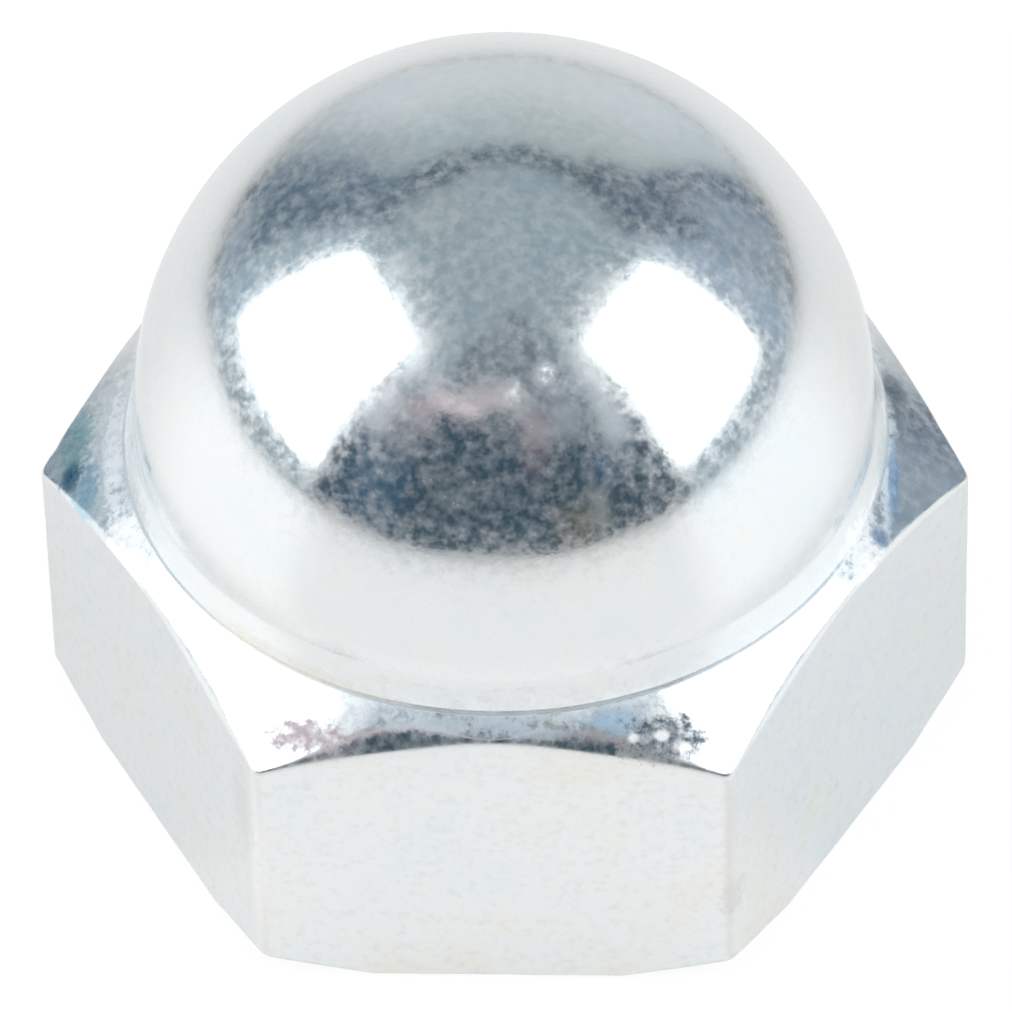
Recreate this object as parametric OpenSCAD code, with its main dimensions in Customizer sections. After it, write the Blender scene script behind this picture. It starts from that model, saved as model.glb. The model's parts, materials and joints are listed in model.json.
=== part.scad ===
// Cap nut: a hexagon nut closed by a dome, tapped from its flat face only.
// All sizes are in millimetres. The origin is the centre of the bearing face,
// +Z points out of the dome, and two of the six flats face +Y and -Y.

/* [Hexagon] */
// Distance across two opposite flats
across_flats = 13; // [12.5:0.5:16]
// Height of the hexagon, up to the foot of the dome
hex_height = 5.9; // [5:0.1:8]
// Slope of the turned corners on the dome's side, from level
shoulder_deg = 38; // [20:1:40]
// Diameter at which the corners on the bearing side start to rise
bearing_d = 13.4; // [11:0.1:14.5]
// Slope of the turned corners on the bearing side, from level
foot_deg = 28; // [15:1:35]

/* [Dome] */
// Diameter of the dome and of the short barrel under it
dome_d = 11.9; // [10:0.1:12]
// Straight length between the hexagon and the round of the dome
barrel_height = 0.62; // [0.5:0.01:2]
// Wall left between the drill's point and the top of the dome
crown_wall = 1.97; // [1:0.01:3]
// Radius of the hollow corner between the hexagon and the barrel
neck_fillet = 0.2; // [0.05:0.05:0.4]

/* [Thread] */
// Outer diameter of the thread that the nut takes
thread_d = 8; // [5:1:8]
// Distance between two neighbouring turns of the thread
thread_pitch = 1.25; // [0.5:0.25:1.25]
// Diameter of the countersink at the mouth
countersink_d = 8.6; // [8.2:0.1:10]
// Full angle of the countersink
countersink_deg = 120; // [90:5:130]
// Full angle of the drill's point at the bottom of the bore
drill_point_deg = 118; // [90:1:140]

/* [Hidden] */

$fn = 128;

// A metric thread's ridges are 5/8 of the full sharp triangle's height
sharp_height = thread_pitch * sqrt(3) / 2;
minor_r = thread_d / 2 - sharp_height * 5 / 8;

corner_r = across_flats / sqrt(3);
bearing_r = bearing_d / 2;
dome_r = dome_d / 2;
neck_r = dome_r + neck_fillet;
dome_centre_z = hex_height + barrel_height;
total_height = dome_centre_z + dome_r;

// The turned outline runs past the sharp corners, so that only its cones cut them
turned_r = corner_r + 1;
foot_rise = (turned_r - bearing_r) * tan(foot_deg);
shoulder_drop = (turned_r - neck_r) * tan(shoulder_deg);

// The bore, from the drill's point down to the countersink
point_height = minor_r / tan(drill_point_deg / 2);
bore_depth = total_height - crown_wall - point_height;
countersink_slope = tan(countersink_deg / 2);
countersink_depth = (countersink_d / 2 - minor_r) / countersink_slope;

// How far a cut runs past the face that it opens, and one solid into the next
overlap = 0.5;

// The shape turned on the bar: a cone off the corners at both ends
module turned_blank() {
    rotate_extrude()
        polygon([
            [0, 0],
            [bearing_r, 0],
            [turned_r, foot_rise],
            [turned_r, hex_height - shoulder_drop],
            [neck_r, hex_height],
            [0, hex_height]
        ]);
}

module hexagon() {
    intersection() {
        cylinder(h = hex_height, r = corner_r, $fn = 6);
        turned_blank();
    }
}

// Half outline of the barrel and the round of the dome
module dome_outline() {
    intersection() {
        union() {
            translate([0, dome_centre_z])
                circle(r = dome_r);
            translate([0, hex_height - overlap])
                square([dome_r, barrel_height + overlap]);
        }
        translate([0, hex_height - overlap])
            square([dome_r + overlap, total_height]);
    }
}

// Hollow corner that runs from the hexagon up into the barrel
module neck_outline() {
    difference() {
        translate([dome_r - overlap, hex_height - overlap])
            square([overlap + neck_fillet, overlap + neck_fillet]);
        translate([neck_r, hex_height + neck_fillet])
            circle(r = neck_fillet);
    }
}

module dome() {
    rotate_extrude()
        dome_outline();
    rotate_extrude()
        neck_outline();
}

// Blind hole at the thread's inner diameter, with its countersunk mouth
module bore() {
    rotate_extrude()
        polygon([
            [0, -overlap],
            [countersink_d / 2 + overlap * countersink_slope, -overlap],
            [minor_r, countersink_depth],
            [minor_r, bore_depth],
            [0, bore_depth + point_height]
        ]);
}

// Bright zinc-plated steel, made in one piece
module cap_nut() {
    color([0.80, 0.83, 0.86])
        difference() {
            union() {
                hexagon();
                dome();
            }
            bore();
        }
}

cap_nut();
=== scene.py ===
"""Looks of a domed cap nut: bright zinc plate on one turned and tapped piece of steel.

The nut is made by one Geometry Nodes tree. Its columns go once round the axis and its rows follow
the outline, from the drill's point down the thread, out over the bearing face and up to the dome.
"""

import json
import logging
import math
from collections.abc import Callable, Sequence
from dataclasses import dataclass, field, fields, replace
from enum import Enum

import bpy
from mathutils import Matrix, Vector

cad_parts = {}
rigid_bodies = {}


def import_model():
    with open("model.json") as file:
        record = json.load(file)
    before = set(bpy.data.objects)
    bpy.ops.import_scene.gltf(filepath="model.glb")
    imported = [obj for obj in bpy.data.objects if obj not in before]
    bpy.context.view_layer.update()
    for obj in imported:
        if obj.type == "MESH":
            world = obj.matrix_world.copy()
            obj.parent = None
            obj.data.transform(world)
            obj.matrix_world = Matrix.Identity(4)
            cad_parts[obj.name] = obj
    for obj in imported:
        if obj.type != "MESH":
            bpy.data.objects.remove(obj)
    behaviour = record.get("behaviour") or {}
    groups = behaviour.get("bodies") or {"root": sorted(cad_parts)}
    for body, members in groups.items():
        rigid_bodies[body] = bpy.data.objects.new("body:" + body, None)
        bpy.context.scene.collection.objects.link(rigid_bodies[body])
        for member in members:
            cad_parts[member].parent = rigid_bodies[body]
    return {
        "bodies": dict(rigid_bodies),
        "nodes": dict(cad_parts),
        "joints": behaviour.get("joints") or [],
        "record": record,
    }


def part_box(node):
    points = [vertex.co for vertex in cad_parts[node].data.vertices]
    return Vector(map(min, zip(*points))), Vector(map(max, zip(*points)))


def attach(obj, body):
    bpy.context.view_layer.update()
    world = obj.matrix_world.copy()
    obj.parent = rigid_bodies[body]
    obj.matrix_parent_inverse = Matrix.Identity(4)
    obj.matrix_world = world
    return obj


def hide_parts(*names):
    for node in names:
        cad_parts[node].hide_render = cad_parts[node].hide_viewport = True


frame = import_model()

logging.basicConfig(level=logging.INFO, format="%(message)s")
LOG = logging.getLogger("cap_nut")

CAD_NODE = "cap_nut"
BODY = "root"

MM = 0.001
FULL_TURN = 2 * math.pi
SIDES = 6

Colour = tuple[float, float, float]


# ---------------------------------------------------------------- arithmetic made of nodes


@dataclass(frozen=True)
class Field:
    """A number that a node tree works out at each point, written as plain arithmetic."""

    tree: bpy.types.NodeTree
    socket: bpy.types.NodeSocket

    def worked(self, operation: str, *others: "Number", swapped: bool = False) -> "Field":
        """Adds a Math node.

        Args:
            operation: the Math node's operation.
            others: what follows this number among the node's inputs.
            swapped: True if the one other number comes first.

        Returns:
            The node's result.
        """
        node = self.tree.nodes.new("ShaderNodeMath")
        node.operation = operation
        values = (*others, self) if swapped else (self, *others)
        for slot, value in zip(node.inputs, values):
            plug(self.tree, value, slot)
        return Field(self.tree, node.outputs[0])

    def __add__(self, other: "Number") -> "Field":
        """The sum."""
        return self.worked("ADD", other)

    def __radd__(self, other: "Number") -> "Field":
        """The sum, with a plain number first."""
        return self.worked("ADD", other)

    def __sub__(self, other: "Number") -> "Field":
        """The difference."""
        return self.worked("SUBTRACT", other)

    def __rsub__(self, other: "Number") -> "Field":
        """The difference, with a plain number first."""
        return self.worked("SUBTRACT", other, swapped=True)

    def __mul__(self, other: "Number") -> "Field":
        """The product."""
        return self.worked("MULTIPLY", other)

    def __rmul__(self, other: "Number") -> "Field":
        """The product, with a plain number first."""
        return self.worked("MULTIPLY", other)

    def __truediv__(self, other: "Number") -> "Field":
        """The quotient."""
        return self.worked("DIVIDE", other)

    def __rtruediv__(self, other: "Number") -> "Field":
        """The quotient, with a plain number first."""
        return self.worked("DIVIDE", other, swapped=True)

    def __gt__(self, other: "Number") -> "Field":
        """1 where this number is the greater one, and 0 elsewhere."""
        return self.worked("GREATER_THAN", other)

    def __lt__(self, other: "Number") -> "Field":
        """1 where this number is the lesser one, and 0 elsewhere."""
        return self.worked("LESS_THAN", other)

    def __pow__(self, other: "Number") -> "Field":
        """The power."""
        return self.worked("POWER", other)

    def highest(self, other: "Number") -> "Field":
        """The greater of two numbers."""
        return self.worked("MAXIMUM", other)

    def lowest(self, other: "Number") -> "Field":
        """The lesser of two numbers."""
        return self.worked("MINIMUM", other)

    def kept(self, low: "Number" = 0.0, high: "Number" = 1.0) -> "Field":
        """This number, kept between two others."""
        return self.highest(low).lowest(high)

    def floor(self) -> "Field":
        """The whole number below."""
        return self.worked("FLOOR")

    def part(self) -> "Field":
        """What is left over the whole number below."""
        return self.worked("FRACT")

    def size(self) -> "Field":
        """The number without its sign."""
        return self.worked("ABSOLUTE")

    def sin(self) -> "Field":
        """The sine."""
        return self.worked("SINE")

    def cos(self) -> "Field":
        """The cosine."""
        return self.worked("COSINE")

    def tan(self) -> "Field":
        """The tangent."""
        return self.worked("TANGENT")

    def root(self) -> "Field":
        """The square root."""
        return self.worked("SQRT")

    def over(self, other: "Number") -> "Field":
        """The angle whose tangent is this number over the other one."""
        return self.worked("ARCTAN2", other)

    def eased(self) -> "Field":
        """0 to 1 with a soft start and a soft end, from a number that may lie outside."""
        near = self.kept()
        return near * near * (3 - 2 * near)

    def crowded(self, share: float = 0.75) -> "Field":
        """0 to 1 with its steps closer together near both ends."""
        return self - (self * FULL_TURN).sin() * (share / FULL_TURN)


Number = float | Field


@dataclass(frozen=True)
class Place:
    """A point or a direction that a node tree works out."""

    tree: bpy.types.NodeTree
    socket: bpy.types.NodeSocket

    def worked(self, operation: str, *others: "Value", scale: Number | None = None) -> bpy.types.Node:
        """Adds a Vector Math node.

        Args:
            operation: the node's operation.
            others: what follows this place among the node's inputs.
            scale: the factor, for an operation that has one.

        Returns:
            The node.
        """
        node = self.tree.nodes.new("ShaderNodeVectorMath")
        node.operation = operation
        for slot, value in zip(node.inputs, (self, *others)):
            plug(self.tree, value, slot)
        if scale is not None:
            plug(self.tree, scale, node.inputs["Scale"])
        return node

    def __add__(self, other: "Place") -> "Place":
        """The sum."""
        return Place(self.tree, self.worked("ADD", other).outputs[0])

    def __sub__(self, other: "Place") -> "Place":
        """The difference."""
        return Place(self.tree, self.worked("SUBTRACT", other).outputs[0])

    def __mul__(self, scale: Number) -> "Place":
        """This direction, made longer or shorter."""
        return Place(self.tree, self.worked("SCALE", scale=scale).outputs[0])

    def unit(self) -> "Place":
        """This direction at a length of 1."""
        return Place(self.tree, self.worked("NORMALIZE").outputs[0])

    def length(self) -> Field:
        """The length."""
        return Field(self.tree, self.worked("LENGTH").outputs["Value"])

    def mixed(self, other: "Place", share: Number) -> "Place":
        """The place that is a share of the way to another one."""
        return self + (other - self) * share

    def parts(self) -> tuple[Field, Field, Field]:
        """The three coordinates."""
        node = self.tree.nodes.new("ShaderNodeSeparateXYZ")
        plug(self.tree, self, node.inputs[0])
        return tuple(Field(self.tree, socket) for socket in node.outputs)


Value = float | Field | Place | Sequence[float] | bpy.types.NodeSocket | bpy.types.ID


def plug(tree: bpy.types.NodeTree, value: Value, slot: bpy.types.NodeSocket) -> None:
    """Links a worked-out value to an input, or writes a plain one into it.

    Args:
        tree: the tree that holds the input.
        value: what goes in.
        slot: the input.
    """
    if isinstance(value, (Field, Place)):
        tree.links.new(value.socket, slot)
    elif isinstance(value, bpy.types.NodeSocket):
        tree.links.new(value, slot)
    else:
        slot.default_value = value


def combine(tree: bpy.types.NodeTree, x: Number, y: Number, z: Number) -> Place:
    """Makes a place of three coordinates.

    Args:
        tree: the tree that works it out.
        x: the first coordinate.
        y: the second.
        z: the third.

    Returns:
        The place.
    """
    node = tree.nodes.new("ShaderNodeCombineXYZ")
    for slot, value in zip(node.inputs, (x, y, z)):
        plug(tree, value, slot)
    return Place(tree, node.outputs[0])


def add_node(
    tree: bpy.types.NodeTree, kind: str, settings: dict | None = None, **inputs: Value
) -> bpy.types.Node:
    """Adds a node, with its settings and its inputs.

    Args:
        tree: the tree that it goes in.
        kind: the node's type.
        settings: its own properties by name.
        inputs: what each input gets, by the input's name with _ for a space.

    Returns:
        The node.
    """
    node = tree.nodes.new(kind)
    for name, value in (settings or {}).items():
        setattr(node, name, value)
    for name, value in inputs.items():
        plug(tree, value, node.inputs[name.replace("_", " ")])
    return node


def stored(
    tree: bpy.types.NodeTree,
    geometry: bpy.types.NodeSocket,
    name: str,
    value: Value,
    kind: str = "FLOAT",
) -> bpy.types.NodeSocket:
    """Keeps a value on the mesh's points.

    Args:
        tree: the tree.
        geometry: the mesh.
        name: the attribute's name.
        value: what it holds.
        kind: the attribute's type.

    Returns:
        The mesh with the attribute.
    """
    node = add_node(
        tree,
        "GeometryNodeStoreNamedAttribute",
        {"data_type": kind},
        Geometry=geometry,
        Name=name,
        Value=value,
    )
    return node.outputs[0]


def grid(tree: bpy.types.NodeTree, columns: int, rows: int) -> bpy.types.NodeSocket:
    """A flat grid with faces of 1 by 1, its middle at the origin.

    Args:
        tree: the tree.
        columns: faces along X.
        rows: faces along Y.

    Returns:
        The mesh.
    """
    node = add_node(
        tree,
        "GeometryNodeMeshGrid",
        Size_X=float(columns),
        Size_Y=float(rows),
        Vertices_X=columns + 1,
        Vertices_Y=rows + 1,
    )
    return node.outputs["Mesh"]


def close_tree(
    tree: bpy.types.NodeTree, geometry: bpy.types.NodeSocket, material: bpy.types.Material
) -> None:
    """Ends a tree: smooth, realized and dressed.

    Args:
        tree: the tree.
        geometry: what it made.
        material: its finish.
    """
    geometry = add_node(tree, "GeometryNodeSetShadeSmooth", Geometry=geometry).outputs[0]
    geometry = add_node(tree, "GeometryNodeRealizeInstances", Geometry=geometry).outputs[0]
    geometry = add_node(tree, "GeometryNodeSetMaterial", Geometry=geometry, Material=material).outputs[0]
    tree.interface.new_socket(name="Mesh", in_out="OUTPUT", socket_type="NodeSocketGeometry")
    tree.links.new(geometry, tree.nodes.new("NodeGroupOutput").inputs[0])


def grown(name: str, tree: bpy.types.NodeTree, sizes: dict[str, float]) -> bpy.types.Object:
    """Runs a tree once and keeps the plain mesh that it makes.

    Args:
        name: the new object's name.
        tree: the tree.
        sizes: the value of each of its inputs, by the input's identifier.

    Returns:
        The object.
    """
    made = bpy.data.objects.new(name, bpy.data.meshes.new("empty"))
    bpy.context.scene.collection.objects.link(made)
    modifier = made.modifiers.new("plan", "NODES")
    modifier.node_group = tree
    for identifier, value in sizes.items():
        modifier[identifier] = value
    bpy.context.view_layer.update()
    mesh = bpy.data.meshes.new_from_object(made.evaluated_get(bpy.context.evaluated_depsgraph_get()))
    made.modifiers.clear()
    made.data = mesh
    mesh.name = name
    return made


def noise(
    tree: bpy.types.NodeTree,
    where: Value,
    size: float,
    detail: float = 2.0,
    rough: float = 0.5,
    shift: float = 0.0,
) -> Field:
    """Adds a noise pattern.

    Args:
        tree: the tree that it goes in.
        where: the coordinates that it reads, in metres.
        size: how far it is from one blotch to the next, in metres.
        detail: how many finer layers it has.
        rough: how strong the finer layers are.
        shift: how far along the pattern to read it, in metres, so that no two patterns agree.

    Returns:
        The pattern, around 0.5.
    """
    apart = add_node(tree, "ShaderNodeVectorMath", {"operation": "ADD"})
    plug(tree, where, apart.inputs[0])
    plug(tree, (shift, 2 * shift, 0.0), apart.inputs[1])
    pattern = add_node(
        tree, "ShaderNodeTexNoise", Vector=apart.outputs[0], Scale=1 / size, Detail=detail, Roughness=rough
    )
    return Field(tree, pattern.outputs[0])


# ---------------------------------------------------------------- the outline


class Zone(Enum):
    """The surfaces of the nut, each an attribute that its finish reads."""

    BORE = "bore"
    FACE = "face"
    FLATS = "flats"
    SHOULDER = "shoulder"
    DOME = "dome"


class Mark(Enum):
    """Narrow features, each an attribute that is 1 along its middle."""

    EDGE = "edge"
    NECK = "neck"


class Cloud(Enum):
    """Slow changes over the surface, each an attribute around 0.5."""

    BROAD = "broad_cloud"
    SMALL = "small_cloud"


@dataclass(frozen=True)
class Stretch:
    """A run of rows along the outline.

    Attributes:
        rows: how many rows of faces it has.
        zone: the surface that it belongs to.
        rule: gives the place for the share of the run that is passed, from 0 to 1.
        mark: what a rounded run is marked as.
    """

    rows: int
    zone: Zone
    rule: Callable[[Field], Place]
    mark: Mark | None = None


@dataclass(frozen=True)
class Corner:
    """A corner of the outline, with the run that leads up to it.

    Attributes:
        place: where the corner would be if it were sharp.
        reach: how far before it the rounding starts, in metres.
        reach_after: how far after it the rounding ends.
        rows: rows of faces in the rounding.
        rows_before: rows of faces in the straight run before it.
        zone: the surface that the straight run belongs to.
        mark: what the rounding is marked as, if anything.
    """

    place: Place
    reach: Number
    reach_after: Number
    rows: int
    rows_before: int
    zone: Zone
    mark: Mark | None = Mark.EDGE


def straight(start: Place, end: Place) -> Callable[[Field], Place]:
    """The rule of a straight run, with closer rows near its ends.

    Args:
        start: its first place.
        end: its last place.

    Returns:
        The rule.
    """
    return lambda share: start.mixed(end, share.crowded())


def rounding(start: Place, corner: Place, end: Place) -> Callable[[Field], Place]:
    """The rule of a rounded corner, a curve drawn between the straight runs on both sides.

    Args:
        start: where the rounding starts.
        corner: the sharp corner that it cuts off.
        end: where it ends.

    Returns:
        The rule.
    """
    return lambda share: start.mixed(corner, share).mixed(corner.mixed(end, share), share)


def run_through(
    first: Place, corners: Sequence[Corner], last: Place, rows_last: int, zone: Zone
) -> list[Stretch]:
    """Makes the straight runs and the roundings that join a line of corners.

    Args:
        first: where the line starts.
        corners: the corners, in order.
        last: where the line ends.
        rows_last: rows of faces in the last straight run.
        zone: the surface that the last straight run belongs to.

    Returns:
        The stretches, in order.
    """
    stretches = []
    here = first
    sharp = [corner.place for corner in corners] + [last]
    zones = [corner.zone for corner in corners] + [zone]
    for corner, before, after, next_zone in zip(corners, [first, *sharp], sharp[1:], zones[1:]):
        start = corner.place + (before - corner.place).unit() * corner.reach
        end = corner.place + (after - corner.place).unit() * corner.reach_after
        stretches.append(Stretch(corner.rows_before, corner.zone, straight(here, start)))
        stretches.append(Stretch(corner.rows, next_zone, rounding(start, corner.place, end), corner.mark))
        here = end
    stretches.append(Stretch(rows_last, zone, straight(here, last)))
    return stretches


@dataclass(frozen=True)
class Round:
    """What every part of the tree needs to know about the way round the axis.

    Attributes:
        tree: the tree.
        angle: the angle of the column, from the first one.
        turn: the share of a full turn that is passed, from 0 to 1.
        reach: distance from the axis to the hexagon's side.
        corner: 1 in the middle of a corner and 0 on the flats.
        quarter: 1 halfway between a flat's middle and its ends, and 0 at all three.
        front: 1 at the front and 0 further round.
    """

    tree: bpy.types.NodeTree
    angle: Field
    turn: Field
    reach: Field
    corner: Field
    quarter: Field
    front: Field

    def at(self, radius: Number, height: Number, off: Place | None = None) -> Place:
        """A place in this column.

        Args:
            radius: distance from the axis.
            height: height above the bearing face.
            off: how far the turned part's own axis stands off the hexagon's.

        Returns:
            The place.
        """
        place = combine(self.tree, self.angle.cos() * radius, self.angle.sin() * radius, height)
        return place if off is None else place + off


# ---------------------------------------------------------------- the nut's parts


@dataclass(frozen=True)
class Hexagon:
    """The hexagon, with its corners turned off at both ends.

    Attributes:
        across_flats: distance across two opposite flats.
        height: height up to the foot of the dome.
        corner_radius: radius of its upright edges.
        shoulder_angle: slope of the turned shoulder on the dome's side, in radians.
        shoulder_radius: where the shoulder's slope reaches the hexagon's full height.
        bearing_radius: where the corners on the bearing side start to rise.
        foot_angle: slope of those corners, in radians.
        edge_break: width of the small bevel that runs on along the flats' lower edges.
        foot_round: how far the rounding of the lower edges reaches at the corners.
        top_round: how far the rounding of the flats' upper edges reaches in their middle.
        top_sweep: how much further up the shoulder it reaches beside the front flat's middle.
        top_drop: how much further down the front flat it reaches there.
    """

    across_flats: Number = 13.0 * MM
    height: Number = 5.9 * MM
    corner_radius: Number = 0.22 * MM
    shoulder_angle: Number = math.radians(38)
    shoulder_radius: Number = 6.15 * MM
    bearing_radius: Number = 6.7 * MM
    foot_angle: Number = math.radians(28)
    edge_break: Number = 0.10 * MM
    foot_round: Number = 0.12 * MM
    top_round: Number = 0.06 * MM
    top_sweep: Number = 0.50 * MM
    top_drop: Number = 0.14 * MM

    FLAT_COLUMNS = 38
    CORNER_COLUMNS = 10
    FRONT_NARROWNESS = 6

    def columns(self) -> int:
        """How many columns go once round."""
        return SIDES * (self.FLAT_COLUMNS + self.CORNER_COLUMNS)

    def way_round(self, tree: bpy.types.NodeTree, column: Field) -> Round:
        """Works out each column's angle and its distance to the hexagon's side.

        Args:
            tree: the tree.
            column: the column's number.

        Returns:
            The way round.
        """
        each = self.FLAT_COLUMNS + self.CORNER_COLUMNS
        half_side = math.pi / SIDES
        side = (column / each).floor()
        step = column - side * each
        inset = self.across_flats / 2 - self.corner_radius
        flat_end = (inset * math.tan(half_side)).over(self.across_flats / 2)
        along_flat = (step / self.FLAT_COLUMNS).kept().crowded()
        flat_angle = flat_end * (along_flat * 2 - 1)
        flat_reach = self.across_flats / 2 / flat_angle.cos()
        along_corner = ((step - self.FLAT_COLUMNS) / self.CORNER_COLUMNS).kept()
        lean = (along_corner * 2 - 1) * half_side
        out = inset / math.cos(half_side) + self.corner_radius * lean.cos()
        across = self.corner_radius * lean.sin()
        corner_angle = across.over(out) + half_side
        corner_reach = (out * out + across * across).root()
        on_corner = step > self.FLAT_COLUMNS
        local = flat_angle + (corner_angle - flat_angle) * on_corner
        reach = flat_reach + (corner_reach - flat_reach) * on_corner
        angle = local + side * (2 * half_side) + half_side
        turn = (angle - half_side + flat_end) / FULL_TURN
        quarter = (along_flat * FULL_TURN * 2).cos() * -0.5 + 0.5
        front = ((1 - angle.sin()) / 2) ** self.FRONT_NARROWNESS
        return Round(tree, angle, turn, reach, along_corner * (1 - along_corner) * 4, quarter, front)

    def slope(self, radius: Number) -> Number:
        """Height of the shoulder at a distance from the dome's axis."""
        return self.height - (radius - self.shoulder_radius) * self.shoulder_angle.tan()

    def corners(self, way: Round, off: Place) -> list[Corner]:
        """The corners of the outline, from the bearing face up to the shoulder.

        Args:
            way: the way round.
            off: how far the dome's axis stands off.

        Returns:
            The corners, in order.
        """
        foot = (way.reach - self.edge_break).lowest(self.bearing_radius)
        side = way.at(way.reach, 0.0)
        up = combine(way.tree, 0.0, 0.0, 1.0)
        bevel = way.reach - foot
        soft = (bevel * 0.42).lowest(self.foot_round)
        top = side + up * self.slope((side - off).length())
        below = self.top_round * (way.quarter + way.front + 1) + self.top_drop * way.quarter * way.front
        above = self.top_round + self.top_sweep * way.quarter * way.front
        return [
            Corner(way.at(foot, 0.0), soft, soft, 3, 7, Zone.FACE),
            Corner(side + up * (bevel * self.foot_angle.tan()), soft, soft, 5, 5, Zone.FACE),
            Corner(top, below, above, 14, 20, Zone.FLATS),
        ]


@dataclass(frozen=True)
class Dome:
    """The round cap, on a short barrel that rises from the hexagon.

    Attributes:
        radius: radius of the dome and the barrel.
        top: height of the dome's top.
        neck_round: how far the hollow corner at the neck reaches.
        flare: how much wider the barrel is at the neck.
        waist_round: how far the rounding above the flare reaches.
        off_x: how far its axis stands off the hexagon's, to the right.
    """

    radius: Number = 5.95 * MM
    top: Number = 12.47 * MM
    neck_round: Number = 0.05 * MM
    flare: Number = 0.17 * MM
    waist_round: Number = 0.10 * MM
    off_x: Number = 0.04 * MM

    ARC_ROWS = 60
    ROOM = 1.1

    def off(self, tree: bpy.types.NodeTree) -> Place:
        """How far the dome's axis stands off the hexagon's."""
        return combine(tree, self.off_x, 0.0, 0.0)

    def corners(self, way: Round, height: Number) -> list[Corner]:
        """The hollow corner where the shoulder meets the barrel, and the soft one above its flare.

        Args:
            way: the way round.
            height: height of the shoulder there.

        Returns:
            The corners, in order.
        """
        off, soft = self.off(way.tree), self.neck_round
        neck = way.at(self.radius + self.flare, height, off)
        waist = way.at(self.radius, self.top - self.radius - self.waist_round * self.ROOM, off)
        return [
            Corner(neck, soft, soft, 6, 11, Zone.SHOULDER, Mark.NECK),
            Corner(waist, self.waist_round, self.waist_round, 8, 1, Zone.DOME, None),
        ]

    def spring(self, way: Round) -> Place:
        """Where the barrel ends and the round starts."""
        return way.at(self.radius, self.top - self.radius, self.off(way.tree))

    def arc(self, way: Round) -> Stretch:
        """The round, from the barrel to the top.

        Args:
            way: the way round.

        Returns:
            Its stretch.
        """
        quarter = math.pi / 2

        def rule(share: Field) -> Place:
            """The place for a share of the arc."""
            lift = share * quarter
            height = self.top - self.radius + self.radius * lift.sin()
            return way.at(self.radius * lift.cos(), height, self.off(way.tree))

        return Stretch(self.ARC_ROWS, Zone.DOME, rule)


@dataclass(frozen=True)
class ThreadedBore:
    """The blind bore: a drilled hole, its right-hand thread and the countersunk mouth.

    Attributes:
        minor_radius: radius at the thread's crests, as the CAD bore has it.
        pitch: distance between two turns.
        depth: depth of the full round of the bore.
        point: height of the drill's point above that.
        mouth_radius: radius of the countersink at the bearing face.
        mouth_angle: half the countersink's full angle, in radians.
        run_out: length over which the last turns fade into the bore.
    """

    minor_radius: Number = 3.3234 * MM
    pitch: Number = 1.25 * MM
    depth: Number = 8.503 * MM
    point: Number = 1.997 * MM
    mouth_radius: Number = 4.3 * MM
    mouth_angle: Number = math.radians(60)
    run_out: Number = 1.7 * MM

    TURN_ROWS = 16
    TURNS = 8
    DEPTH_PER_PITCH = math.sqrt(3) / 2 * 5 / 8
    MOUTH_EDGE = 0.05 * MM

    def cone(self, height: Number) -> Number:
        """Radius of the countersink at a height."""
        return self.mouth_radius - height * self.mouth_angle.tan()

    def drilled_point(self, way: Round) -> Stretch:
        """The cone that the drill's point leaves, from its tip down."""
        tip = way.at(0.0, self.depth + self.point)
        return Stretch(6, Zone.BORE, straight(tip, way.at(self.minor_radius, self.depth)))

    def thread(self, way: Round) -> Stretch:
        """The thread, whose rows climb along the helix and stop at the bore's ends.

        Args:
            way: the way round.

        Returns:
            Its stretch.
        """
        flank_rows = 5
        half_root = 1
        low = self.MOUTH_EDGE

        def rule(share: Field) -> Place:
            """The place for a share of the turns."""
            passed = share * self.TURNS - way.turn
            height = (self.depth - passed * self.pitch).kept(low, self.depth)
            phase = ((self.depth - height) / self.pitch + way.turn).part()
            off_root = (phase - 0.5).size() * self.TURN_ROWS
            shape = ((half_root + flank_rows - off_root) / flank_rows).kept()
            full = ((self.depth - height) / self.run_out).kept()
            cut = self.minor_radius + self.pitch * self.DEPTH_PER_PITCH * shape * full
            return way.at(cut.highest(self.cone(height)), height)

        return Stretch(self.TURN_ROWS * self.TURNS, Zone.BORE, rule)

    def mouth(self, way: Round) -> Corner:
        """The edge of the countersink on the bearing face."""
        return Corner(way.at(self.mouth_radius, 0.0), self.MOUTH_EDGE, self.MOUTH_EDGE, 3, 2, Zone.BORE)

    def rim(self, way: Round) -> Place:
        """Where the thread's rows end, just inside the mouth."""
        return way.at(self.cone(self.MOUTH_EDGE), self.MOUTH_EDGE)


# ---------------------------------------------------------------- the finish


@dataclass(frozen=True)
class Stain:
    """A place where the passivate ran thick, or where salts or rubbing left the plate pale; a few are painted
    reflections, a painted highlight and painted shade.

    Attributes:
        name: what it is.
        middle: its middle, in millimetres.
        spread: how far it reaches along each axis, in millimetres.
        colour: its colour.
        dull: how much rougher the plate is there.
        chalk: how much of its light it scatters.
        ragged: how strongly its rim is broken up.
        zone: the surface that it stays on.
    """

    name: str
    middle: tuple[float, float, float]
    spread: tuple[float, float, float]
    colour: Colour
    dull: float
    chalk: float
    ragged: float
    zone: Zone = Zone.SHOULDER

    FILL = 1.6
    THIN = 1.6

    def share(self, where: Place, torn: Field) -> Field:
        """How far the stain covers the plate.

        Args:
            where: the coordinates, in metres.
            torn: the pattern that tears its rim.

        Returns:
            1 inside it and 0 outside.
        """
        scale, move = [1 / (MM * r) for r in self.spread], [-m / r for m, r in self.spans()]
        local = where.worked("MULTIPLY_ADD", scale, move)
        near = 1 - Place(where.tree, local.outputs[0]).length()
        cover = (near * self.FILL + (torn - 0.5) * self.ragged).eased()
        return cover * (1 - (torn - 0.38) * self.THIN).kept()

    def spans(self) -> list[tuple[float, float]]:
        """The middle and the spread along each axis."""
        return list(zip(self.middle, self.spread))


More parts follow.
